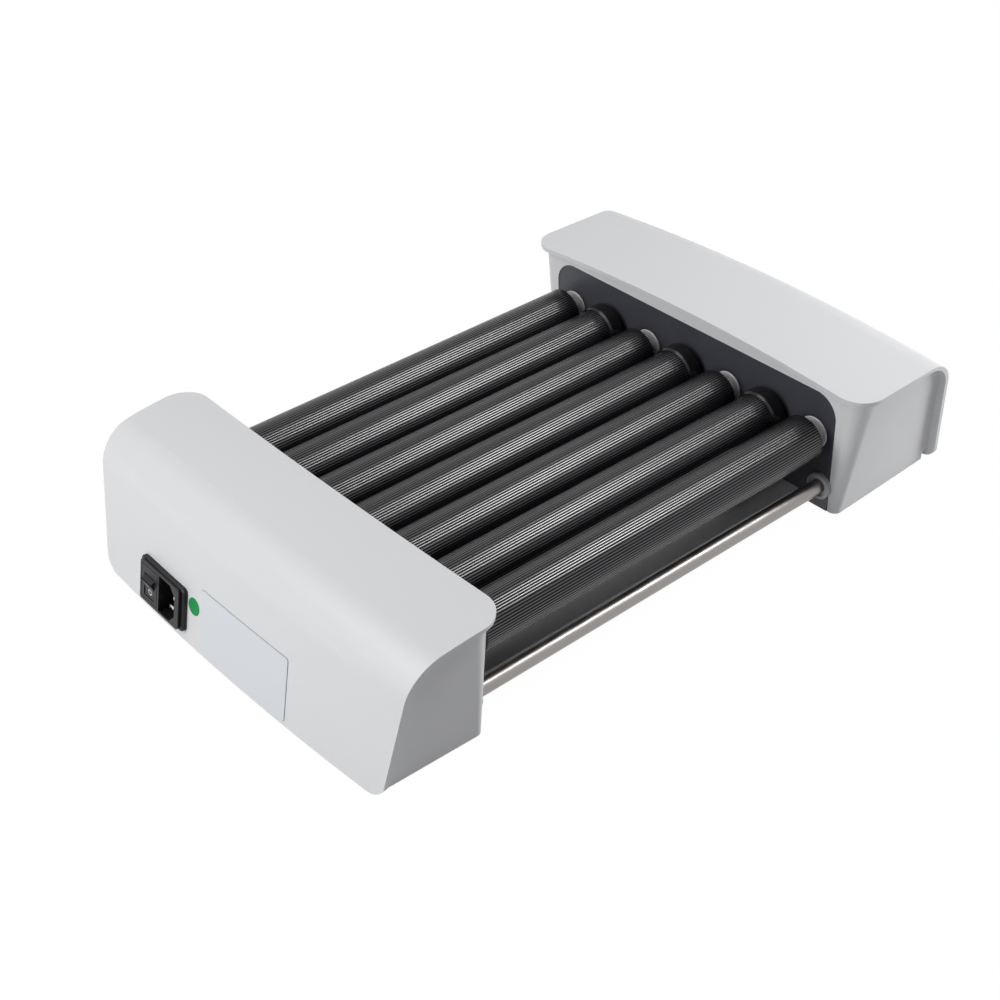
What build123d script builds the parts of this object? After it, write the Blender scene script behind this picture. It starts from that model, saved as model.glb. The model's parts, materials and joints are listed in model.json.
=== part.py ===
from build123d import *
import math
import os

os.makedirs("parts", exist_ok=True)

# Overall sizes, mm. X runs along the rollers, Y across them, Z up.
# Parts are drawn about the middle of the rollers. They are saved with the origin on the
# resting surface below the middle of the whole machine, which lies centre_shift further on,
# because the control housing is the wider one.
centre_shift = 13.8
overall_width = 290.0
foot_height = 2.0
housing_height = 91.4
housing_top = foot_height + housing_height

# End housings: plan bow, crown, skin section and draft.
lip_edge_x = 140.8
end_bow = 4.84
crown_drop = 3.65
lip_corner_r = 17.5
cover_wall = 2.8
drive_sweep_r = 341.0
drive_sweep_angle = 7.5
drive_shoulder_r = 26.5
control_sweep_r = 8000.0
control_sweep_angle = 0.48
control_shoulder_r = 24.0
face_lean = 10.4
far_outside = 290.0
end_draft = 0.131
end_narrowing = 0.02
skirt_half_width = overall_width / 2 + 0.9
bottom_corner_r = 13.0
rounded_depth = 8.0

# Case behind each cover, and the dark panel that carries the rollers.
case_wall = 2.5
case_half_width_top = 141.9
case_half_width_bottom = 129.2
case_narrowing = 0.033
case_face_top_x = 141.9
case_face_bottom_x = 143.2
case_rear_x = 145.5
case_corner_top_r = 13.4
case_corner_bottom_r = 4.9
panel_face_x = 142.6
panel_half_width = 122.5
panel_drop = 10.0
panel_top = housing_top - panel_drop
panel_corner_r = 16.0
panel_clearance = 0.2
panel_flange = 1.5

# Rollers.
roller_count = 7
roller_pitch = 35.46
roller_r = 15.0
roller_z = foot_height + 51.6
tube_wall = 2.0
roller_end_x = 134.2
cap_flange = 1.6
cap_rounding = 1.2
collar_start_x = 128.4
collar_end_x = 139.4
collar_r = 16.6
shaft_r = 4.0
running_clearance = 0.05
bush_flange_r = 10.5
bush_flange = 0.5
bush_barrel_r = 8.0
bush_barrel_end_x = 150.0

# Tie rods, tray and feet.
rod_inset = 6.7
rod_y = panel_half_width - rod_inset
rod_z = foot_height + 17.0
rod_r = 4.8
rod_thread_r = 4.0
rod_thread = 9.0
grommet_flange_r = 8.6
grommet_flange = 3.4
grommet_barrel_r = 5.8
grommet_recess_r = 6.6
grommet_recess = 1.6
tray_half_width = 99.0
tray_top = foot_height + 6.0
sheet = 1.2
plate = 1.5
plate_bottom = foot_height + 0.5
foot_r = 7.0
foot_inset = 25.2
slot_count = 9
slot_pitch = 14.0
slot_length = 34.0
slot_width = 3.0
drive_foot_x = 184.0
control_foot_x = 200.0

# Belt drive behind the panel on the mains side.
pulley_r = 13.2
belt_path_r = 12.0
belt_cord_r = 1.5
belt_groove_r = 1.9
belt_plane_a = -154.4
belt_plane_b = -159.4
pulley_near_x = -151.2
pulley_far_x = -162.6
motor_inset = 42.7
motor_y = motor_inset - case_half_width_bottom
motor_z = foot_height + 23.0
motor_pulley_r = 9.2
motor_path_r = 8.0
motor_r = 17.0
motor_shaft_r = 3.0
motor_front_x = pulley_far_x - 3.6
gearbox_length = 13.8
can_length = 23.0
bracket_sheet = 1.6
bracket_half = 20.0

# Supply board on the base plate of the mains side.
board_x = -186.0
board_y = -9.0
board_depth = 36.0
board_width = 78.0
board_sheet = 1.6
pillar_height = 6.0

# Mains inlet with rocker switch.
inlet_y = 64.5
inlet_z = foot_height + 20.1
inlet_width = 41.4
inlet_height = 26.5
inlet_proud = 4.6
inlet_flange = 2.9

# Speed control on the outer face of the other housing.
control_y = 0.0
control_z = foot_height + 46.0
control_plate_width = 92.0
control_plate_height = 36.0
knob_r = 13.0
knob_height = 12.0


def save(shape, node):
    """Write one part under its own name, in the machine's own frame."""
    placed = Pos(-centre_shift, 0, 0) * shape
    placed.label = node
    export_step(placed, "parts/" + node + ".step")


def point(x, z):
    return Vector(x, 0, z)


def cylinder_x(radius, x_start, x_end, y, z):
    """Round bar along X between two stations."""
    start = Plane(origin=(x_start, y, z), x_dir=(0, 1, 0), z_dir=(1, 0, 0))
    return extrude(start * Circle(radius), x_end - x_start)


def box(x0, x1, y0, y1, z0, z1):
    """Plain block between corner stations, for cuts and unions."""
    size = (abs(x1 - x0), abs(y1 - y0), abs(z1 - z0))
    centre = ((x0 + x1) / 2, (y0 + y1) / 2, (z0 + z1) / 2)
    return Pos(*centre) * Box(*size)


# Every skin section is turned about a leaning axis, which gives plan bow and crown at once.
lean = math.radians(face_lean)
sagitta = math.hypot(end_bow, crown_drop)
turn_radius = ((overall_width / 2) ** 2 + sagitta ** 2) / (2 * sagitta)
toward_axis = Vector(-end_bow / sagitta, 0, -crown_drop / sagitta)
turn_axis = Axis(
    (lip_edge_x + turn_radius * toward_axis.X, 0, housing_top + turn_radius * toward_axis.Z),
    (-toward_axis.Z, 0, toward_axis.X),
)
half_turn = 6.0


def turned(face):
    return revolve(face.rotate(turn_axis, -half_turn), turn_axis, 2 * half_turn)


class Skin:
    """Skin section of a housing: top sweep, shoulder and leaning outer face."""

    def __init__(self, sweep_r, sweep_angle, shoulder_r):
        self.sweep_r = sweep_r
        self.sweep_angle = math.radians(sweep_angle)
        self.shoulder_r = shoulder_r
        self.sweep_z = housing_top - sweep_r
        reach = sweep_r - shoulder_r
        self.shoulder_x = lip_edge_x + reach * math.sin(self.sweep_angle)
        self.shoulder_z = self.sweep_z + reach * math.cos(self.sweep_angle)

    def on_sweep(self, offset, angle):
        radius = self.sweep_r - offset
        return point(lip_edge_x + radius * math.sin(angle),
                     self.sweep_z + radius * math.cos(angle))

    def on_shoulder(self, offset, angle):
        radius = self.shoulder_r - offset
        return point(self.shoulder_x + radius * math.sin(angle),
                     self.shoulder_z + radius * math.cos(angle))

    def face_top(self, offset):
        return self.on_shoulder(offset, math.pi / 2 - lean)

    def face_bottom(self, offset):
        """Lower end of the leaning face, below the housing's own bottom."""
        top = self.face_top(offset)
        length = (top.Z + 8.0) / math.cos(lean)
        return top + Vector(math.sin(lean), 0, -math.cos(lean)) * length

    def edges(self, offset):
        """Edges of the section set in by an offset, from lip to bottom."""
        turn = math.pi / 2 - lean
        middle = (self.sweep_angle + turn) / 2
        first = self.on_sweep(offset, 0.0)
        second = self.on_sweep(offset, self.sweep_angle)
        third = self.face_top(offset)
        return [
            ThreePointArc(first, self.on_sweep(offset, self.sweep_angle / 2), second),
            ThreePointArc(second, self.on_shoulder(offset, middle), third),
            Line(third, self.face_bottom(offset)),
        ]

    def plate(self, outer_offset, inner_offset):
        """Curved plate between two offsets of the section."""
        ends = [
            Line(self.face_bottom(outer_offset), self.face_bottom(inner_offset)),
            Line(self.on_sweep(inner_offset, 0.0), self.on_sweep(outer_offset, 0.0)),
        ]
        edges = self.edges(outer_offset) + self.edges(inner_offset) + ends
        return turned(make_face(Wire(edges)))

    def under(self, offset):
        """Everything below the skin, reaching inward past the lip."""
        inner_x = 125.0
        start = self.on_sweep(offset, 0.0)
        bottom = self.face_bottom(offset)
        edges = self.edges(offset)
        edges.append(Line(bottom, point(inner_x, bottom.Z)))
        edges.append(Line(point(inner_x, bottom.Z), point(inner_x, start.Z)))
        edges.append(Line(point(inner_x, start.Z), start))
        return turned(make_face(Wire(edges)))

    def frame(self, side, y, z):
        """Frame on the outer face: x to the viewer's right, y up the face, z outward."""
        share = (y / (overall_width / 2)) ** 2
        turn = y * (end_bow / sagitta) / turn_radius
        top = self.face_top(0.0)
        x = top.X - end_bow * share + (top.Z - crown_drop * share - z) * math.tan(lean)
        out = Vector(math.cos(lean) * math.cos(turn) * side,
                     math.cos(lean) * math.sin(turn), math.sin(lean))
        right = Vector(-math.sin(turn), math.cos(turn) * side, 0)
        return Plane(origin=(side * x, y, z), x_dir=right, z_dir=out)


drive_skin = Skin(drive_sweep_r, drive_sweep_angle, drive_shoulder_r)
control_skin = Skin(control_sweep_r, control_sweep_angle, control_shoulder_r)


def plan_outline(z, half_width, inner_x, bow, corner_r, narrowing):
    """Plan view of a housing at one height, open side far outside."""
    outer_x = far_outside
    outer_half = half_width - narrowing * (outer_x - inner_x)
    first = (inner_x - bow, -half_width, z)
    second = (inner_x - bow, half_width, z)
    if bow > 0:
        inner = ThreePointArc(first, (inner_x, 0, z), second)
    else:
        inner = Line(first, second)
    outline = make_face(Wire([
        inner,
        Line(second, (outer_x, outer_half, z)),
        Line((outer_x, outer_half, z), (outer_x, -outer_half, z)),
        Line((outer_x, -outer_half, z), first),
    ]))
    corners = outline.vertices().sort_by(Axis.X)[:2]
    return fillet(corners, corner_r)


def tapered(bottom_values, top_values, bow, narrowing):
    """Loft between two plan outlines, each given as z, half width, x, corner radius."""
    faces = []
    for z, half_width, inner_x, corner_r in (bottom_values, top_values):
        faces.append(plan_outline(z, half_width, inner_x, bow, corner_r, narrowing))
    return loft(faces, ruled=True)


above = housing_top + 6.0
below = -8.0


def at_height(z, top_value, bottom_value):
    """Straight taper of a size between the housing's top and bottom."""
    share = (housing_top - z) / housing_height
    return top_value + (bottom_value - top_value) * share


def front_trim(half_width, corner_r):
    """Block that rounds the two bottom corners seen from outside."""
    top_half = half_width + end_draft * housing_height + 4.0
    side = Plane(origin=(150, 0, 0), x_dir=(0, 1, 0), z_dir=(1, 0, 0))
    outline = side * make_face(Polyline(
        (-half_width, foot_height), (half_width, foot_height),
        (top_half, housing_top + 12.0), (-top_half, housing_top + 12.0),
        (-half_width, foot_height)))
    corners = outline.vertices().sort_by(Axis.Z)[:2]
    return extrude(fillet(corners, corner_r), far_outside - 150.0)


def corner_cut(skin, half_width, corner_r):
    """What the rounding takes off near the outer face only."""
    start_x = skin.face_bottom(0.0).X - 4.0 * rounded_depth
    block = box(start_x, far_outside, -160, 160, foot_height, foot_height + 2.3 * corner_r)
    return block - front_trim(half_width, corner_r) - skin.under(rounded_depth)


def make_cover(skin):
    """Outer shell of a housing: flat lip, shoulder and leaning face."""
    half_top = skirt_half_width
    half_bottom = half_top - end_draft * housing_height
    ends = tapered(
        (below, at_height(below, half_top, half_bottom), lip_edge_x, lip_corner_r),
        (above, at_height(above, half_top, half_bottom), lip_edge_x, lip_corner_r),
        end_bow, end_narrowing)
    shell = skin.plate(0.0, cover_wall) & ends
    shell -= box(100, far_outside, -160, 160, -12, foot_height)
    face_x = skin.face_bottom(0.0).X
    trim_half = half_bottom - end_narrowing * (face_x - lip_edge_x) + 0.4
    return shell - corner_cut(skin, trim_half, bottom_corner_r)


def case_outline(inset, face_top_x, face_bottom_x):
    """Tapered body of the case, or of its cavity when set in."""
    values = []
    for z in (below, above):
        half = at_height(z, case_half_width_top, case_half_width_bottom) - inset
        face_x = at_height(z, face_top_x, face_bottom_x)
        corner = at_height(z, case_corner_top_r, case_corner_bottom_r) - inset * 0.7
        values.append((z, half, face_x, corner))
    return tapered(values[0], values[1], 0.0, case_narrowing)


def panel_outline(inset, x_start, x_end):
    """Panel shape with rounded top corners, square at the bottom."""
    half = panel_half_width - inset
    low = foot_height + inset
    high = panel_top - inset
    side = Plane(origin=(x_start, 0, 0), x_dir=(0, 1, 0), z_dir=(1, 0, 0))
    outline = side * make_face(Polyline(
        (-half, low), (half, low), (half, high), (-half, high), (-half, low)))
    corners = outline.vertices().sort_by(Axis.Z)[-2:]
    return extrude(fillet(corners, panel_corner_r - inset), x_end - x_start)


boss_r = 4.5
boss_height = 16.0
inner_boss_inset = 12.2
outer_boss_inset = 21.2


def boss_places(skin):
    """Four screw places, two near the panel and two near the outer face."""
    inner_x = case_rear_x + 21.5
    outer_x = skin.face_bottom(0.0).X - 20.0
    inner_y = case_half_width_bottom - inner_boss_inset
    outer_y = case_half_width_bottom - outer_boss_inset
    return [(inner_x, inner_y), (inner_x, -inner_y), (outer_x, outer_y), (outer_x, -outer_y)]


def make_case(skin):
    """Open body behind a cover, with end walls, front frame and bosses."""
    body = skin.under(cover_wall) & case_outline(0.0, case_face_top_x, case_face_bottom_x)
    body -= box(100, far_outside, -160, 160, -12, foot_height)
    body -= case_outline(case_wall, case_rear_x, case_rear_x)
    face_x = skin.face_bottom(0.0).X
    trim_half = case_half_width_bottom - case_narrowing * (face_x - case_face_bottom_x) + 0.3
    body -= corner_cut(skin, trim_half, bottom_corner_r - 2.5)
    body -= panel_outline(0.0, 120.0, 160.0)
    for x, y in boss_places(skin):
        side = 1 if y > 0 else -1
        z0 = plate_bottom + plate
        boss = Pos(x, y, z0 + boss_height / 2) * Cylinder(boss_r, boss_height)
        reach = box(x - 1.5, x + 1.5, y, side * (case_half_width_top + 5.0), z0, z0 + boss_height)
        body += boss + (reach & case_outline(0.4, case_face_top_x, case_face_bottom_x))
        body -= Pos(x, y, z0 + 5.0) * Cylinder(1.5, 10.0)
    return body


def roller_ys():
    return [(roller_count // 2 - i) * roller_pitch for i in range(roller_count)]


def make_panel():
    """Dark panel: pad in the frame, flange behind it, bores for bushes and rods."""
    pad = panel_outline(panel_clearance, panel_face_x, case_rear_x)
    half = panel_half_width + 1.0
    top = panel_top + 3.0
    flange = box(case_rear_x, case_rear_x + panel_flange, -half, half, foot_height + 2.4, top)
    panel = pad + flange
    for y in roller_ys():
        panel -= cylinder_x(bush_barrel_r, 130.0, 160.0, y, roller_z)
    for y in (rod_y, -rod_y):
        panel -= cylinder_x(grommet_barrel_r, 130.0, 160.0, y, rod_z)
    return panel


def make_base_plate(skin):
    """Steel floor of a housing, set in from the case walls."""
    blank = skin.under(cover_wall + 0.3) & case_outline(case_wall + 0.4, 147.4, 147.4)
    side = case_half_width_top
    blank = blank & box(140, far_outside, -side, side, plate_bottom, plate_bottom + plate)
    for x, y in boss_places(skin):
        blank -= Pos(x, y, plate_bottom) * Cylinder(1.8, 8.0)
    for i in range(slot_count):
        y = (i - (slot_count - 1) / 2) * slot_pitch
        slot = Pos(drive_foot_x - 1.0, y, plate_bottom) * Box(slot_length, slot_width, 8.0)
        blank -= slot
    outer_part = box(skin.face_bottom(0.0).X - 23.0, far_outside, -160, 160, 0, 12)
    return blank - (outer_part - front_trim(case_half_width_bottom - 6.0, bottom_corner_r))


def make_screws(skin, side):
    """Base plate screws of one housing."""
    screws = []
    for x, y in boss_places(skin):
        head = Pos(side * x, y, plate_bottom - 0.9) * Cylinder(3.0, 1.8)
        head -= Pos(side * x, y, plate_bottom - 1.7) * Box(4.4, 0.8, 1.2)
        stem = Pos(side * x, y, plate_bottom + 4.5) * Cylinder(1.5, 9.0)
        screws.append(head + stem)
    return Compound(screws)


def make_feet():
    """Four rubber pads under the base plates."""
    feet = []
    for x in (control_foot_x, -drive_foot_x):
        for side in (1, -1):
            y = side * (case_half_width_bottom - foot_inset)
            pad = Pos(x, y, plate_bottom / 2) * Cylinder(foot_r, plate_bottom)
            low = pad.edges().filter_by(GeomType.CIRCLE).sort_by(Axis.Z)[:1]
            feet.append(chamfer(low, 0.6))
    return Compound(feet)


def mirrored(shape):
    return mirror(shape, about=Plane.YZ)


def local_block(frame, u0, u1, v0, v1, w0, w1):
    """Block in a local frame between corner stations."""
    size = (abs(u1 - u0), abs(v1 - v0), abs(w1 - w0))
    centre = Pos((u0 + u1) / 2, (v0 + v1) / 2, (w0 + w1) / 2)
    return frame * centre * Box(*size)


def local_rounded(frame, width, height, radius, w0, w1, u=0.0, v=0.0):
    """Block with rounded corners in a local frame."""
    outline = Pos(u, v, w0) * RectangleRounded(width, height, radius)
    return extrude(frame * outline, w1 - w0, dir=frame.z_dir)


inlet_frame = drive_skin.frame(-1, inlet_y, inlet_z)
rocker_u = -10.8
rocker_v = -1.6
rocker_width = 10.4
rocker_window_half = 7.5
rocker_pivot_w = 0.65
rocker_throw = 30.0
mouth_u = 8.1
mouth_width = 17.0
mouth_height = 23.6
mouth_chamfer = 5.2
mouth_depth = 17.0
pin_length = 12.5


def mouth_outline():
    """Opening of the mains inlet, long side up, two chamfered corners."""
    half_w = mouth_width / 2
    half_h = mouth_height / 2
    c = mouth_chamfer
    outline = make_face(Polyline(
        (mouth_u - half_w, -half_h), (mouth_u + half_w - c, -half_h),
        (mouth_u + half_w, -half_h + c), (mouth_u + half_w, half_h - c),
        (mouth_u + half_w - c, half_h), (mouth_u - half_w, half_h),
        (mouth_u - half_w, -half_h)))
    return outline


def make_inlet():
    """Snap-in module: bezel, body behind the skin, rocker window and inlet mouth."""
    frame = inlet_frame
    front_w = inlet_proud - 1.2
    bezel = local_rounded(frame, inlet_width, inlet_height, 2.2, front_w, inlet_proud)
    neck = local_rounded(frame, inlet_width - 1.0, inlet_height - 1.0, 1.7, 0.4, front_w)
    outline = Pos(0, 0, 0.15) * RectangleRounded(inlet_width + 5.0, inlet_height + 1.8, 2.8)
    flange = extrude(outline, inlet_flange - 0.15)
    front_edges = flange.faces().sort_by(Axis.Z)[-1].edges()
    flange = frame * chamfer(front_edges, 0.7)
    body = local_block(frame, -19.9, 19.9, -11.9, 11.9, -24.0, 0.6)
    module = bezel + neck + flange + body
    mouth = extrude(frame * (Pos(0, 0, inlet_proud) * mouth_outline()), -mouth_depth,
                    dir=frame.z_dir)
    module -= mouth
    half = rocker_width / 2 + 0.25
    module -= local_block(frame, rocker_u - half, rocker_u + half, rocker_v - rocker_window_half,
                          rocker_v + rocker_window_half, -6.5, inlet_proud + 1)
    joint_line = local_block(frame, rocker_u - 8.6, rocker_u + 8.6, -11.2, 11.2,
                             inlet_proud - 0.4, inlet_proud + 1)
    joint_line -= local_block(frame, rocker_u - 8.2, rocker_u + 8.2, -10.8, 10.8,
                              inlet_proud - 1, inlet_proud + 2)
    stub = frame * (Pos(rocker_u, rocker_v, rocker_pivot_w) * Rot(0, 90, 0)
                    * Cylinder(1.5 + running_clearance, rocker_width + 2.6))
    return module - joint_line - stub


def make_pins():
    """Three flat contact pins inside the inlet mouth."""
    pins = []
    floor = inlet_proud - mouth_depth
    for u, v in ((mouth_u - 2.0, 7.0), (mouth_u - 2.0, -7.0), (mouth_u + 2.0, 0.0)):
        at = inlet_frame * Pos(u, v, floor + pin_length / 2)
        pin = Box(4.0, 2.0, pin_length)
        tip = pin.faces().sort_by(Axis.Z)[-1]
        pins.append(at * chamfer(tip.edges(), 0.5))
    return Compound(pins)


def make_rocker():
    """Rocker drawn in the off position, lower half pressed in."""
    tip = (5.85, 5.4)
    dish = 4.0
    end_r = rocker_window_half - 0.25
    low = 4.9

    def on_end(angle):
        turn = math.radians(angle)
        return (end_r * math.cos(turn), end_r * math.sin(turn))

    def other(place):
        return (-place[0], place[1])

    top, middle, bottom = on_end(39.0), on_end(10.0), on_end(-20.0)
    foot = (3.2, -math.sqrt(low ** 2 - 3.2 ** 2))
    outline = make_face(Wire([
        ThreePointArc(other(tip), (0, dish), tip),
        Line(tip, top),
        ThreePointArc(top, middle, bottom),
        Line(bottom, foot),
        Line(foot, other(foot)),
        Line(other(foot), other(bottom)),
        ThreePointArc(other(bottom), other(middle), other(top)),
        Line(other(top), other(tip)),
    ]))
    side = Plane(origin=(0, 0, 0), x_dir=(0, 1, 0), z_dir=(1, 0, 0))
    paddle = extrude(side * outline, rocker_width / 2, both=True)
    paddle += Rot(0, 90, 0) * Cylinder(1.5, rocker_width + 2.2)
    tilt = Rot(rocker_throw / 2, 0, 0)
    return inlet_frame * Pos(rocker_u, rocker_v, rocker_pivot_w) * tilt * paddle


control_frame = control_skin.frame(1, control_y, control_z)
knob_u = 28.0
screen_u = -14.0
plate_sink = 1.3


def make_control_plate():
    """Flat dark plate let into the skin, with a screen window and a spindle hole."""
    frame = control_frame
    body = local_rounded(frame, control_plate_width, control_plate_height, 5.0,
                         -plate_sink, 0.6)
    body -= local_rounded(frame, 46.0, 22.0, 1.5, -0.5, 2.0, screen_u, 0.0)
    body -= frame * (Pos(knob_u, 0, 0) * Cylinder(4.0, 10.0))
    return body


def make_screen():
    return local_rounded(control_frame, 45.6, 21.6, 1.3, -0.5, 0.5, screen_u, 0.0)


def make_speed_control():
    """Potentiometer: body behind the skin, bush through it, spindle outside."""
    frame = control_frame
    body = frame * (Pos(knob_u, 0, -10.0) * Cylinder(10.0, 10.0))
    bush = frame * (Pos(knob_u, 0, -2.5) * Cylinder(4.0, 6.0))
    spindle = frame * (Pos(knob_u, 0, 4.0) * Cylinder(3.0, 10.0))
    return body + bush + spindle


def make_knob():
    """Turned knob with a skirt, grip ribs, pointer groove and spindle bore."""
    frame = control_frame
    base = 1.0
    grip = Pos(0, 0, base + knob_height / 2) * Cylinder(knob_r - 2.0, knob_height)
    skirt = Pos(0, 0, base + 1.25) * Cylinder(knob_r, 2.5)
    top = grip.edges().filter_by(GeomType.CIRCLE).sort_by(Axis.Z)[-1:]
    knob = chamfer(top, 1.0) + skirt
    for i in range(18):
        angle = math.radians(20.0 * i)
        reach = knob_r - 1.6
        groove = Cylinder(0.9, knob_height)
        knob -= Pos(reach * math.cos(angle), reach * math.sin(angle),
                    base + 3.0 + knob_height / 2) * groove
    knob -= Pos(0, knob_r * 0.55, base + knob_height) * Box(1.4, knob_r * 0.7, 1.0)
    knob -= Pos(0, 0, base + 4.0) * Cylinder(3.0 + running_clearance, 9.0)
    return frame * Pos(knob_u, 0, 0) * Rot(0, 0, 150) * knob


def make_control_board():
    """Circuit board behind the control plate, on four pillars."""
    frame = control_frame
    board = local_block(frame, -44, 12, -15, 15, -13.6, -12.0)
    chip = local_block(frame, -30, -18, -6, 6, -16.0, -13.6)
    can = frame * (Pos(0, 6, -17.6) * Cylinder(3.0, 8.0))
    unit = board + chip + can
    for u in (-40, 8):
        for v in (-12, 12):
            unit += frame * (Pos(u, v, -6.4) * Cylinder(2.2, 11.2))
    return unit & control_skin.under(cover_wall)


def make_drive_cover():
    """Cover on the mains side, with the inlet cut-out."""
    cover = mirrored(make_cover(drive_skin))
    cut = local_block(inlet_frame, -20.2, 20.2, -12.2, 12.2, -8.0, 4.0)
    return cover - cut


def make_control_cover():
    """Cover on the control side, with the let-in plate and the spindle hole."""
    cover = make_cover(control_skin)
    pocket = local_rounded(control_frame, control_plate_width + 0.4,
                           control_plate_height + 0.4, 5.2, -plate_sink, 3.0)
    hole = control_frame * (Pos(knob_u, 0, -2.0) * Cylinder(4.2, 12.0))
    return cover - pocket - hole


def has_collar(index):
    return index % 2 == 1


def tube_half(index):
    return collar_start_x if has_collar(index) else roller_end_x - cap_flange


def make_tube(y, half):
    outer = cylinder_x(roller_r, -half, half, y, roller_z)
    return outer - cylinder_x(roller_r - tube_wall, -half - 1, half + 1, y, roller_z)


def end_edge(shape, side):
    """Round edge of a turned part furthest along X on one side."""
    rims = shape.edges().filter_by(GeomType.CIRCLE).sort_by(Axis.X)
    return rims[-1] if side > 0 else rims[0]


def make_end_caps(index, y, half):
    """Two end fittings pressed into a tube: plain caps, or wider stop collars."""
    caps = []
    for side in (-1, 1):
        plug_end = side * (half - 9.0)
        plug = cylinder_x(roller_r - tube_wall, plug_end, side * half, y, roller_z)
        if has_collar(index):
            rim = cylinder_x(collar_r, side * half, side * collar_end_x, y, roller_z)
            inner_edge = 1.2
        else:
            rim = cylinder_x(roller_r, side * half, side * roller_end_x, y, roller_z)
            inner_edge = 0.2
        rim = chamfer(end_edge(rim, side), cap_rounding)
        cap = plug + chamfer(end_edge(rim, -side), inner_edge)
        far = side * 145.0
        cap -= cylinder_x(shaft_r, plug_end - side, far, y, roller_z)
        caps.append(cap)
    return Compound(caps)


def make_shaft(y):
    shaft = cylinder_x(shaft_r, pulley_far_x, bush_barrel_end_x + 1.0, y, roller_z)
    ends = shaft.edges().filter_by(GeomType.CIRCLE)
    return chamfer(ends, 0.5)


def grooved(radius, path_r, bore, x_planes, y, z):
    """Pulley blank with round-belt grooves and a bore."""
    blank = cylinder_x(radius, pulley_near_x, pulley_far_x, y, z)
    for x in x_planes:
        ring = Pos(x, y, z) * Rot(0, 90, 0) * Torus(path_r, belt_groove_r)
        rim = cylinder_x(radius + 1, x - belt_groove_r, x + belt_groove_r, y, z)
        rim -= cylinder_x(path_r, x - 5, x + 5, y, z)
        blank -= ring + rim
    return blank - cylinder_x(bore, -145, -170, y, z)


def belt_loop(x, first, second):
    """Round belt about two pulleys given as y, z, path radius."""
    y0, z0, r0 = first
    y1, z1, r1 = second
    span = math.hypot(y1 - y0, z1 - z0)
    heading = math.atan2(z1 - z0, y1 - y0)
    wrap = math.acos((r0 - r1) / span)
    points = []
    for angle in (heading + wrap, heading - wrap):
        points.append(((x, y0 + r0 * math.cos(angle), z0 + r0 * math.sin(angle)),
                       (x, y1 + r1 * math.cos(angle), z1 + r1 * math.sin(angle))))
    back = (x, y0 - r0 * math.cos(heading), z0 - r0 * math.sin(heading))
    ahead = (x, y1 + r1 * math.cos(heading), z1 + r1 * math.sin(heading))
    path = Wire([
        Line(points[0][0], points[0][1]),
        ThreePointArc(points[0][1], ahead, points[1][1]),
        Line(points[1][1], points[1][0]),
        ThreePointArc(points[1][0], back, points[0][0]),
    ])
    start = Vector(*points[0][0])
    along = Vector(*points[0][1]) - start
    section = Plane(origin=start, z_dir=along) * Circle(belt_cord_r)
    return sweep(section, path=path)


def make_belts():
    """Six belts from roller to roller and one from the motor."""
    ys = roller_ys()
    loops = []
    for i in range(roller_count - 1):
        x = belt_plane_a if i % 2 == 0 else belt_plane_b
        loops.append(belt_loop(x, (ys[i], roller_z, belt_path_r),
                               (ys[i + 1], roller_z, belt_path_r)))
    loops.append(belt_loop(belt_plane_a, (motor_y, motor_z, motor_path_r),
                           (ys[-1], roller_z, belt_path_r)))
    return Compound(loops)


def make_bushes(side):
    """Row of flanged plain bushes in one panel."""
    bushes = []
    start = side * (panel_face_x - bush_flange)
    for y in roller_ys():
        flange = cylinder_x(bush_flange_r, start, side * panel_face_x, y, roller_z)
        outer = flange.edges().filter_by(GeomType.CIRCLE).sort_by(Axis.X)
        front = outer[0] if side > 0 else outer[-1]
        flange = chamfer(front, bush_flange * 0.6)
        barrel = cylinder_x(bush_barrel_r, start, side * bush_barrel_end_x, y, roller_z)
        bore = cylinder_x(shaft_r + running_clearance, start - side, side * 160, y, roller_z)
        bushes.append(flange + barrel - bore)
    return Compound(bushes)


def make_tie_rod(y):
    """Polished rod between the panels, with turned-down threaded ends."""
    middle = cylinder_x(rod_r, -case_rear_x, case_rear_x, y, rod_z)
    end_x = case_rear_x + panel_flange + rod_thread
    ends = cylinder_x(rod_thread_r, -end_x, end_x, y, rod_z)
    tips = ends.edges().filter_by(GeomType.CIRCLE)
    return middle + chamfer(tips, 0.8)


def make_grommets():
    """Flanged collars where the rods enter the panels."""
    parts = []
    for side in (-1, 1):
        for y in (rod_y, -rod_y):
            start = side * (panel_face_x - grommet_flange)
            flange = cylinder_x(grommet_flange_r, start, side * panel_face_x, y, rod_z)
            rims = flange.edges().filter_by(GeomType.CIRCLE).sort_by(Axis.X)
            front = rims[0] if side > 0 else rims[-1]
            flange = chamfer(front, 0.6)
            barrel = cylinder_x(grommet_barrel_r, start, side * case_rear_x, y, rod_z)
            recess = cylinder_x(grommet_recess_r, start - side, start + side * grommet_recess,
                                y, rod_z)
            bore = cylinder_x(rod_r, start - side, side * 160, y, rod_z)
            parts.append(flange + barrel - recess - bore)
    return Compound(parts)


def make_rod_nuts():
    """Washer-faced nuts that clamp the panels on the rod ends."""
    nuts = []
    start = case_rear_x + panel_flange
    for side in (-1, 1):
        for y in (rod_y, -rod_y):
            at = Plane(origin=(side * start, y, rod_z), x_dir=(0, 1, 0), z_dir=(side, 0, 0))
            nut = extrude(at * RegularPolygon(7.5, 6), 6.0)
            washer = cylinder_x(8.0, side * start, side * (start + 1.2), y, rod_z)
            bore = cylinder_x(rod_thread_r, side * 140, side * 160, y, rod_z)
            nuts.append(nut + washer - bore)
    return Compound(nuts)


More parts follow.
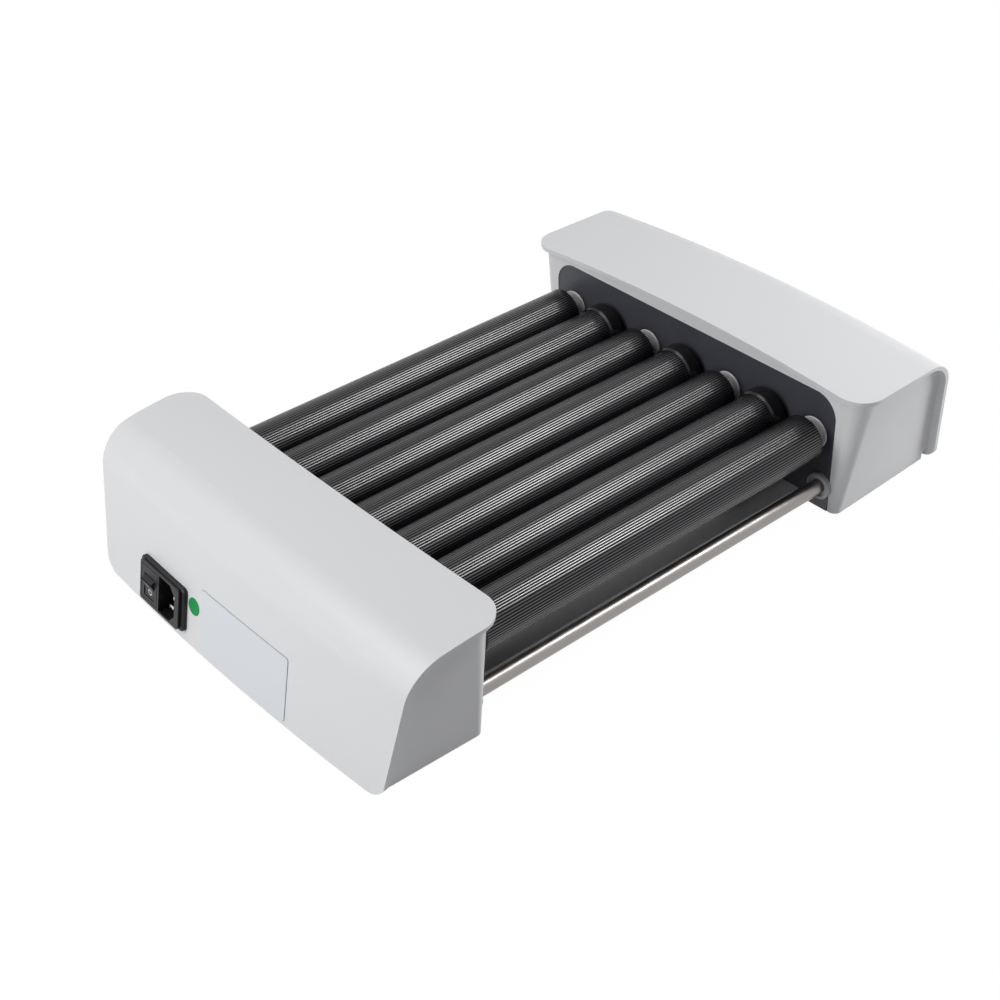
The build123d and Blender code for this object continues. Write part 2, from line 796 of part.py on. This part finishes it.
def make_tray():
    """Sheet tray below the rollers, long edges turned down with a narrow hem."""
    half = tray_half_width
    length = panel_face_x
    low = foot_height + 1.0
    tray = box(-length, length, -half, half, tray_top - sheet, tray_top)
    for side in (-1, 1):
        tray += box(-length, length, side * (half - sheet), side * half, low, tray_top)
        tray += box(-length, length, side * (half - sheet), side * (half + 3.5), low, low + sheet)
    edges = tray.edges().filter_by(Axis.X).filter_by(
        lambda e: abs(e.center().Z - tray_top) < 0.01)
    return fillet(edges, 0.9)


def make_motor():
    """Gearmotor: gearbox, motor can, end boss and output shaft."""
    y, z = motor_y, motor_z
    front = motor_front_x
    back = front - gearbox_length
    can_end = back - can_length
    gearbox = cylinder_x(motor_r, front, back, y, z)
    can = cylinder_x(motor_r - 2.5, back, can_end, y, z)
    cap = cylinder_x(5.0, can_end, can_end - 1.8, y, z)
    boss = cylinder_x(5.5, front + 1.8, front, y, z)
    bore = cylinder_x(motor_shaft_r + running_clearance, front + 6.2, front - 8.3, y, z)
    return gearbox + can + cap + boss - bore


def make_motor_shaft():
    shaft = cylinder_x(motor_shaft_r, pulley_near_x + 0.7, motor_front_x - 7.8, motor_y, motor_z)
    return chamfer(shaft.edges().filter_by(GeomType.CIRCLE), 0.4)


def make_motor_bracket():
    """Folded bracket that stands on the base plate and holds the gearmotor."""
    y, z = motor_y, motor_z
    floor = plate_bottom + plate
    low_y, high_y = y - bracket_half, y + bracket_half
    back = motor_front_x
    front = back + bracket_sheet
    upright = box(back, front, low_y, high_y, floor, z + motor_r + 2.0)
    upright -= cylinder_x(5.6, front + 5.0, back - 5.0, y, z)
    foot = box(back - gearbox_length, front, low_y, high_y, floor, floor + bracket_sheet)
    corners = upright.edges().filter_by(Axis.X).sort_by(Axis.Z)[-2:]
    return fillet(corners, 5.0) + foot


def make_power_board():
    """Supply board on four pillars, with transformer, filter and heat sink."""
    floor = plate_bottom + plate
    x0, x1 = board_x - board_depth / 2, board_x + board_depth / 2
    y0, y1 = board_y - board_width / 2, board_y + board_width / 2
    z = floor + pillar_height
    top = z + board_sheet
    unit = box(x0, x1, y0, y1, z, top)
    for x in (x0 + 4, x1 - 4):
        for y in (y0 + 4, y1 - 4):
            unit += Pos(x, y, floor + pillar_height / 2) * Cylinder(2.5, pillar_height)
    unit += box(x0 + 4, x1 - 10, y0 + 12, y0 + 36, top, top + 18.4)
    for y in (y1 - 28, y1 - 16):
        unit += Pos(x0 + 14, y, top + 8.0) * Cylinder(5.0, 16.0)
    sink = box(x1 - 6, x1 - 3, y0 + 8, y1 - 10, top, top + 16.4)
    return unit + sink


save(make_drive_cover(), "drive_cover")
save(make_control_cover(), "control_cover")
save(mirrored(make_case(drive_skin)), "drive_case")
save(make_case(control_skin), "control_case")
panel = make_panel()
save(mirrored(panel), "drive_panel")
save(panel, "control_panel")
save(mirrored(make_base_plate(drive_skin)), "drive_base_plate")
save(make_base_plate(control_skin), "control_base_plate")
save(Compound([make_screws(drive_skin, -1), make_screws(control_skin, 1)]), "base_screws")
save(make_feet(), "rubber_feet")
save(make_tray(), "drip_tray")
save(make_tie_rod(-rod_y), "tie_rod_front")
save(make_tie_rod(rod_y), "tie_rod_rear")
save(make_grommets(), "rod_grommets")
save(make_rod_nuts(), "rod_nuts")
save(make_bushes(-1), "bushes_drive_side")
save(make_bushes(1), "bushes_control_side")

for index, y in enumerate(roller_ys()):
    number = str(index + 1)
    half = tube_half(index)
    save(make_tube(y, half), "roller_tube_" + number)
    save(make_end_caps(index, y, half), "roller_ends_" + number)
    save(make_shaft(y), "roller_shaft_" + number)
    planes = (belt_plane_a, belt_plane_b)
    save(grooved(pulley_r, belt_path_r, shaft_r, planes, y, roller_z), "roller_pulley_" + number)

save(make_motor(), "gearmotor")
save(make_motor_bracket(), "motor_bracket")
save(make_motor_shaft(), "motor_shaft")
save(grooved(motor_pulley_r, motor_path_r, motor_shaft_r, (belt_plane_a,), motor_y, motor_z),
     "motor_pulley")
save(make_belts(), "drive_belts")
save(make_power_board(), "power_board")
save(make_inlet(), "inlet_module")
save(make_pins(), "inlet_pins")
save(make_rocker(), "power_rocker")
save(make_control_plate(), "control_plate")
save(make_screen(), "display_screen")
save(make_speed_control(), "speed_control")
save(make_knob(), "speed_knob")
save(make_control_board(), "control_board")
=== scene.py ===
import bpy
import json
import math
from mathutils import Matrix, Vector


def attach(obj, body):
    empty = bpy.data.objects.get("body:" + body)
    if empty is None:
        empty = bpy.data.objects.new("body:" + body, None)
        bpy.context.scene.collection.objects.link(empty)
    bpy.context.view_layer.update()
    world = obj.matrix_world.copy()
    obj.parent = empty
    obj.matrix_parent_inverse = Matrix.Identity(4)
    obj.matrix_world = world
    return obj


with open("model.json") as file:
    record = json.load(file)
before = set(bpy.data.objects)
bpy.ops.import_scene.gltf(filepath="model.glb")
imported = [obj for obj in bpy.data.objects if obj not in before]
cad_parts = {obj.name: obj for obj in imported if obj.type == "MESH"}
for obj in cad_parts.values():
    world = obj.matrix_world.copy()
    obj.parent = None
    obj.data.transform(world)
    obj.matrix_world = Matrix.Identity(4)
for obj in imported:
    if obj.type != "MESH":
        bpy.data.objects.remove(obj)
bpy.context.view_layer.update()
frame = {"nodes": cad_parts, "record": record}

nodes = frame["nodes"]

MM = 0.001

# Places and sizes of the machine in millimetres, as in the CAD
FOOT = 2.0
ROLLER_PITCH = 35.46
ROLLER_Z = FOOT + 51.6
CENTRE_SHIFT = 13.8
FLUTES = 58
FLUTE_DEPTH = 0.1
LEAN = math.radians(10.4)
FACE_BOW_RADIUS = 1735.0
FACE_BOW_SHARE = 0.798

# Flat pieces on the outer face of the drive housing, each place given as y, z
DRIVE_SIDE = -1
LABEL_PLACE = (-13.0, FOOT + 22.5)
LABEL_SIZE = (80.0, 40.2)
LABEL_CORNER = 2.0
LABEL_LIFT = 0.40
# Dark grey rim sheet, a little larger than the label and laid under it: painted shadow along the
# label's edge
EDGE_SHADOW_SIZE = (80.6, 40.8)
EDGE_SHADOW_CORNER = 2.2
EDGE_SHADOW_LIFT = 0.20
DOT_PLACE = (34.6, FOOT + 26.8)
DOT_RADIUS = 5.4
DOT_LIFT = 0.22
MARK_LIFT = 0.06
OFF_PLACE = (74.8, FOOT + 16.0)
OFF_RADIUS = 1.9
OFF_HOLE = 0.68
ON_PLACE = (75.2, FOOT + 21.3)
ON_SIZE = (0.7, 2.6)
ON_CORNER = 0.2


# Materials

def new_material(name):
    material = bpy.data.materials.new(name)
    material.use_nodes = True
    tree = material.node_tree
    shader = tree.nodes["Principled BSDF"]
    return material, tree, shader


def math_node(tree, operation, first, second=None, third=None):
    node = tree.nodes.new("ShaderNodeMath")
    node.operation = operation
    for socket, value in zip(node.inputs, (first, second, third)):
        if value is None:
            continue
        if isinstance(value, (int, float)):
            socket.default_value = value
        else:
            tree.links.new(value, socket)
    return node.outputs[0]


def noise(tree, scale, detail=3.0, stretch=(1.0, 1.0, 1.0)):
    coords = tree.nodes.new("ShaderNodeTexCoord")
    mapping = tree.nodes.new("ShaderNodeMapping")
    mapping.inputs["Scale"].default_value = stretch
    texture = tree.nodes.new("ShaderNodeTexNoise")
    texture.inputs["Scale"].default_value = scale
    texture.inputs["Detail"].default_value = detail
    tree.links.new(coords.outputs["Object"], mapping.inputs["Vector"])
    tree.links.new(mapping.outputs["Vector"], texture.inputs["Vector"])
    return texture.outputs["Fac"]


def vary(tree, factor, low, high):
    node = tree.nodes.new("ShaderNodeMapRange")
    node.inputs["From Min"].default_value = 0.3
    node.inputs["From Max"].default_value = 0.7
    node.inputs["To Min"].default_value = low
    node.inputs["To Max"].default_value = high
    tree.links.new(factor, node.inputs["Value"])
    return node.outputs["Result"]


def bump(tree, shader, height, strength, distance):
    node = tree.nodes.new("ShaderNodeBump")
    node.inputs["Strength"].default_value = strength
    node.inputs["Distance"].default_value = distance
    tree.links.new(height, node.inputs["Height"])
    tree.links.new(node.outputs["Normal"], shader.inputs["Normal"])


def moulded(name, colour, roughness, grain=0.05, specular=0.5):
    """Moulded plastic with a very fine surface grain."""
    material, tree, shader = new_material(name)
    shader.inputs["Base Color"].default_value = (*colour, 1.0)
    shader.inputs["Specular IOR Level"].default_value = specular
    tree.links.new(vary(tree, noise(tree, 60.0), roughness - 0.04, roughness + 0.04),
                   shader.inputs["Roughness"])
    bump(tree, shader, noise(tree, 2600.0, 2.0), grain, 0.00004)
    return material


def metal(name, colour, roughness, stretch, scale=900.0, strength=0.15):
    """Metal with fine drawn or turned marks."""
    material, tree, shader = new_material(name)
    shader.inputs["Base Color"].default_value = (*colour, 1.0)
    shader.inputs["Metallic"].default_value = 1.0
    grain = noise(tree, scale, 4.0, stretch)
    tree.links.new(vary(tree, grain, roughness - 0.08, roughness + 0.08),
                   shader.inputs["Roughness"])
    bump(tree, shader, grain, strength, 0.00005)
    return material


def fluted_rubber():
    """Black roller cover: straight flutes along X around each roller's own axis."""
    material, tree, shader = new_material("roller_fluted")
    coords = tree.nodes.new("ShaderNodeTexCoord")
    split = tree.nodes.new("ShaderNodeSeparateXYZ")
    tree.links.new(coords.outputs["Object"], split.inputs["Vector"])
    pitch = ROLLER_PITCH * MM
    across = math_node(tree, "WRAP", split.outputs["Y"], pitch / 2, -pitch / 2)
    above = math_node(tree, "SUBTRACT", split.outputs["Z"], ROLLER_Z * MM)
    angle = math_node(tree, "ARCTAN2", above, across)
    turns = math_node(tree, "MULTIPLY", angle, FLUTES / 2.0)
    wave = math_node(tree, "ABSOLUTE", math_node(tree, "SINE", turns))
    land = math_node(tree, "MULTIPLY", wave, wave)
    bump(tree, shader, land, 1.0, FLUTE_DEPTH * MM)
    tree.links.new(vary(tree, land, 0.03, 0.95), shader.inputs["Specular IOR Level"])
    wear = noise(tree, 45.0, 3.0, (0.15, 1.0, 1.0))
    shade = tree.nodes.new("ShaderNodeMix")
    shade.data_type = "RGBA"
    shade.inputs[6].default_value = (0.006, 0.006, 0.007, 1.0)
    shade.inputs[7].default_value = (0.012, 0.012, 0.014, 1.0)
    tree.links.new(wear, shade.inputs[0])
    tree.links.new(shade.outputs[2], shader.inputs["Base Color"])
    tree.links.new(vary(tree, wear, 0.17, 0.21), shader.inputs["Roughness"])
    return material


white = moulded("white_satin", (0.74, 0.745, 0.76), 0.38, 0.04)
panel_dark = moulded("panel_dark", (0.046, 0.047, 0.060), 0.45, 0.08)
black = moulded("black_satin", (0.010, 0.010, 0.012), 0.36, 0.08, 0.3)
collar = moulded("collar_black", (0.006, 0.006, 0.007), 0.22, 0.02, 0.3)
bush = moulded("bush_white", (0.86, 0.86, 0.86), 0.3, 0.02)
grommet = moulded("grommet_grey", (0.45, 0.455, 0.47), 0.4, 0.03)
foot = moulded("foot_rubber", (0.02, 0.02, 0.02), 0.7, 0.2)
tray = moulded("tray_grey", (0.60, 0.60, 0.62), 0.4, 0.1)
belt = moulded("belt_rubber", (0.03, 0.03, 0.03), 0.6, 0.1)
board = moulded("board_green", (0.01, 0.09, 0.04), 0.4, 0.05)
motor = moulded("motor_grey", (0.1, 0.1, 0.11), 0.4, 0.05)
rod = metal("rod_brushed", (0.30, 0.285, 0.275), 0.36, (0.06, 1.0, 1.0), 1400.0, 0.25)
shaft = metal("shaft_ground", (0.58, 0.58, 0.59), 0.25, (1.0, 0.1, 0.1))
aluminium = metal("pulley_turned", (0.75, 0.75, 0.77), 0.3, (1.0, 0.1, 0.1))
zinc = metal("zinc_plated", (0.55, 0.56, 0.58), 0.35, (1.0, 1.0, 1.0), 200.0, 0.1)
brass = metal("pin_plated", (0.78, 0.76, 0.72), 0.2, (1.0, 1.0, 1.0), 400.0, 0.05)
screen = moulded("screen_dark", (0.010, 0.014, 0.018), 0.08, 0.0)
fluted = fluted_rubber()

LOOKS = {
    "white_shell": white,
    "dark_panel": panel_dark,
    "roller_rubber": fluted,
    "end_plastic": collar,
    "shaft_steel": shaft,
    "pulley_aluminium": aluminium,
    "bush_white": bush,
    "rod_steel": rod,
    "grommet_grey": grommet,
    "zinc_steel": zinc,
    "foot_rubber": foot,
    "tray_grey": tray,
    "motor_body": motor,
    "belt_rubber": belt,
    "board_green": board,
    "black_plastic": black,
    "moving_black": black,
    "pin_brass": brass,
    "screen_glass": screen,
}
slot_of = {part["node"]: part["material_slot"] for part in frame["record"]["subparts"]}
for name, thing in nodes.items():
    thing.data.materials.clear()
    thing.data.materials.append(LOOKS[slot_of[name]])


# Small flat pieces laid on the outer faces

def face_basis(side, y):
    """Directions on a leaning face: to the viewer's right, up the face, outward."""
    turn = y / FACE_BOW_RADIUS * FACE_BOW_SHARE
    out = Vector((math.cos(LEAN) * math.cos(turn) * side,
                  math.cos(LEAN) * math.sin(turn), math.sin(LEAN))).normalized()
    right = Vector((-math.sin(turn), math.cos(turn) * side, 0.0))
    right = (right - out * right.dot(out)).normalized()
    return right, out.cross(right), out


def rounded_outline(size, radius, steps=8, spacing=4.0):
    """Rectangle with round corners, with points along its edges so that it can bend."""
    width, height = size
    points = []
    for cx, cy, start in ((1, 1, 0), (-1, 1, 90), (-1, -1, 180), (1, -1, 270)):
        for i in range(steps + 1):
            a = math.radians(start + 90 * i / steps)
            points.append((cx * (width / 2 - radius) + radius * math.cos(a),
                           cy * (height / 2 - radius) + radius * math.sin(a)))
    spaced = []
    for (x0, y0), (x1, y1) in zip(points, points[1:] + points[:1]):
        parts = max(1, round(math.hypot(x1 - x0, y1 - y0) / spacing))
        spaced += [(x0 + (x1 - x0) * i / parts, y0 + (y1 - y0) * i / parts)
                   for i in range(parts)]
    return spaced


def laid_on(name, target, place, outline, lift, material, body="frame", hole=0.0):
    """Thin sheet with a given outline, or a ring, laid on a CAD face by casting onto it."""
    y, z = place
    right, up, out = face_basis(DRIVE_SIDE, y)
    outside_x = DRIVE_SIDE * 0.25
    clear_of_face = 0.01
    inward = Vector((-DRIVE_SIDE, 0.0, 0.0))
    centre = target.ray_cast(Vector((outside_x, y * MM, z * MM)), inward)[1] + out * clear_of_face
    rings = 24
    count = len(outline)
    verts = []
    for k in range(rings + 1):
        share = hole + (1.0 - hole) * k / rings
        for u, v in outline:
            start = centre + right * (u * share * MM) + up * (v * share * MM)
            hit, found = target.ray_cast(start, -out)[:2]
            if not hit:
                raise RuntimeError("sheet " + name + " misses its face")
            verts.append(tuple(found + out * (lift * MM)))
    faces = []
    for k in range(rings):
        for i in range(count):
            a = k * count + i
            b = k * count + (i + 1) % count
            faces.append((a, a + count, b + count, b))
    mesh = bpy.data.meshes.new(name)
    mesh.from_pydata(verts, [], faces)
    mesh.update()
    sheet = bpy.data.objects.new(name, mesh)
    bpy.context.scene.collection.objects.link(sheet)
    thickness = sheet.modifiers.new("thickness", "SOLIDIFY")
    thickness.thickness = lift * MM
    thickness.offset = -1.0
    sheet.data.materials.append(material)
    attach(sheet, body)


def circle(radius):
    """Round outline, one point every ten degrees."""
    return [(radius * math.cos(math.radians(a)), radius * math.sin(math.radians(a)))
            for a in range(0, 360, 10)]


paper = moulded("label_paper", (0.71, 0.735, 0.775), 0.35, 0.0)
# Dark grey of the rim under the label: painted shadow along the label's edge
painted_edge_shadow = moulded("label_painted_edge_shadow", (0.34, 0.35, 0.38), 0.5, 0.0)
green = moulded("dot_green", (0.0, 0.27, 0.06), 0.4, 0.0, 0.2)
mark = moulded("mark_white", (0.62, 0.63, 0.65), 0.4, 0.0)

drive_cover = nodes["drive_cover"]
# The dark rim goes on first as painted shadow around the label, then the label sheet on top of it
laid_on("label_painted_shadow_rim", drive_cover, LABEL_PLACE,
        rounded_outline(EDGE_SHADOW_SIZE, EDGE_SHADOW_CORNER), EDGE_SHADOW_LIFT, painted_edge_shadow)
laid_on("label_blank", drive_cover, LABEL_PLACE,
        rounded_outline(LABEL_SIZE, LABEL_CORNER), LABEL_LIFT, paper)
laid_on("dot_sticker", drive_cover, DOT_PLACE, circle(DOT_RADIUS), DOT_LIFT, green)
rocker = nodes["power_rocker"]
laid_on("rocker_mark_off", rocker, OFF_PLACE, circle(OFF_RADIUS), MARK_LIFT, mark,
        "rocker", OFF_HOLE)
laid_on("rocker_mark_on", rocker, ON_PLACE, rounded_outline(ON_SIZE, ON_CORNER),
        MARK_LIFT, mark, "rocker")


# Camera, lamps and floor

AZIMUTH = math.radians(-41.515)
ELEVATION = math.radians(35.858)
ROLL = math.radians(-0.651)
DISTANCE = 1.094618
TARGET = Vector((0.012459 - CENTRE_SHIFT * MM, 0.010317, FOOT * MM))
LENS = 62.779
PICTURE_SHIFT = (-0.027574, 0.002493)

back = Vector((math.sin(AZIMUTH) * math.cos(ELEVATION),
               -math.cos(AZIMUTH) * math.cos(ELEVATION), math.sin(ELEVATION)))
level = Vector((math.cos(AZIMUTH), math.sin(AZIMUTH), 0.0))
upward = back.cross(level)
across = level * math.cos(ROLL) + upward * math.sin(ROLL)
upright = -level * math.sin(ROLL) + upward * math.cos(ROLL)
camera_data = bpy.data.cameras.new("camera")
camera = bpy.data.objects.new("camera", camera_data)
bpy.context.scene.collection.objects.link(camera)
camera.matrix_world = Matrix((
    (across.x, upright.x, back.x, 0.0),
    (across.y, upright.y, back.y, 0.0),
    (across.z, upright.z, back.z, 0.0),
    (0.0, 0.0, 0.0, 1.0)))
camera.location = TARGET + back * DISTANCE
camera_data.sensor_width = 36.0
camera_data.lens = LENS
camera_data.shift_x, camera_data.shift_y = PICTURE_SHIFT
camera_data.clip_start = 0.01
camera_data.clip_end = 50.0
bpy.context.scene.camera = camera


def softbox(name, place, toward, width, height, power, mirrored=True):
    """Rectangular lamp at a place, turned toward a point, shown or not in reflections."""
    data = bpy.data.lights.new(name, "AREA")
    data.shape = "RECTANGLE"
    data.size = width
    data.size_y = height
    data.energy = power
    lamp = bpy.data.objects.new(name, data)
    bpy.context.scene.collection.objects.link(lamp)
    lamp.location = place
    heading = Vector(toward) - Vector(place)
    lamp.rotation_euler = heading.to_track_quat("-Z", "Y").to_euler()
    lamp.visible_glossy = mirrored


MACHINE = (0.0, 0.0, 0.05)
FAR_END = (0.22, -0.14, 0.05)
softbox("softbox_left", (-1.5, 0.1, 0.7), MACHINE, 1.2, 1.0, 13.2)
softbox("softbox_above_left", (-0.9, 0.3, 1.1), MACHINE, 0.8, 0.8, 6.0)
softbox("softbox_above_right", (0.69, -0.36, 1.1), MACHINE, 0.52, 0.36, 8.3)
softbox("softbox_low_right", (0.6, -0.36, 0.18), FAR_END, 0.2, 0.2, 1.5, mirrored=False)


def seen_straight(tree):
    """One where a surface is seen by the camera, in a reflection or through glass."""
    path = tree.nodes.new("ShaderNodeLightPath")
    mirrored = math_node(tree, "MAXIMUM", path.outputs["Is Glossy Ray"],
                         path.outputs["Is Transmission Ray"])
    return math_node(tree, "MAXIMUM", path.outputs["Is Camera Ray"], mirrored)


world = bpy.data.worlds.new("studio")
bpy.context.scene.world = world
world.use_nodes = True
tree = world.node_tree
tree.nodes.clear()
seen = seen_straight(tree)
plain = tree.nodes.new("ShaderNodeBackground")
plain.inputs["Color"].default_value = (1.0, 1.0, 1.0, 1.0)
plain.inputs["Strength"].default_value = 1.0
soft = tree.nodes.new("ShaderNodeBackground")
soft.inputs["Color"].default_value = (0.92, 0.95, 1.0, 1.0)
soft.inputs["Strength"].default_value = 0.02
either = tree.nodes.new("ShaderNodeMixShader")
out = tree.nodes.new("ShaderNodeOutputWorld")
tree.links.new(seen, either.inputs["Fac"])
tree.links.new(soft.outputs["Background"], either.inputs[1])
tree.links.new(plain.outputs["Background"], either.inputs[2])
tree.links.new(either.outputs["Shader"], out.inputs["Surface"])

FLOOR_REACH = 6.0
FLOOR_GLOW_SHARE = 0.95
floor_mesh = bpy.data.meshes.new("floor")
floor_mesh.from_pydata(
    [(x * FLOOR_REACH, y * FLOOR_REACH, 0.0) for x, y in ((-1, -1), (1, -1), (1, 1), (-1, 1))],
    [], [(0, 1, 2, 3)])
floor = bpy.data.objects.new("floor", floor_mesh)
bpy.context.scene.collection.objects.link(floor)
material, tree, shader = new_material("floor_white")
shader.inputs["Base Color"].default_value = (0.50, 0.50, 0.50, 1.0)
shader.inputs["Roughness"].default_value = 0.9
shader.inputs["Specular IOR Level"].default_value = 0.0
share = math_node(tree, "MULTIPLY", seen_straight(tree), FLOOR_GLOW_SHARE)
glow = tree.nodes.new("ShaderNodeEmission")
glow.inputs["Color"].default_value = (1.0, 1.0, 1.0, 1.0)
glow.inputs["Strength"].default_value = 1.04
either = tree.nodes.new("ShaderNodeMixShader")
output = tree.nodes["Material Output"]
tree.links.new(share, either.inputs["Fac"])
tree.links.new(shader.outputs["BSDF"], either.inputs[1])
tree.links.new(glow.outputs["Emission"], either.inputs[2])
tree.links.new(either.outputs["Shader"], output.inputs["Surface"])
floor.data.materials.append(material)

bpy.context.scene.view_settings.view_transform = "Standard"
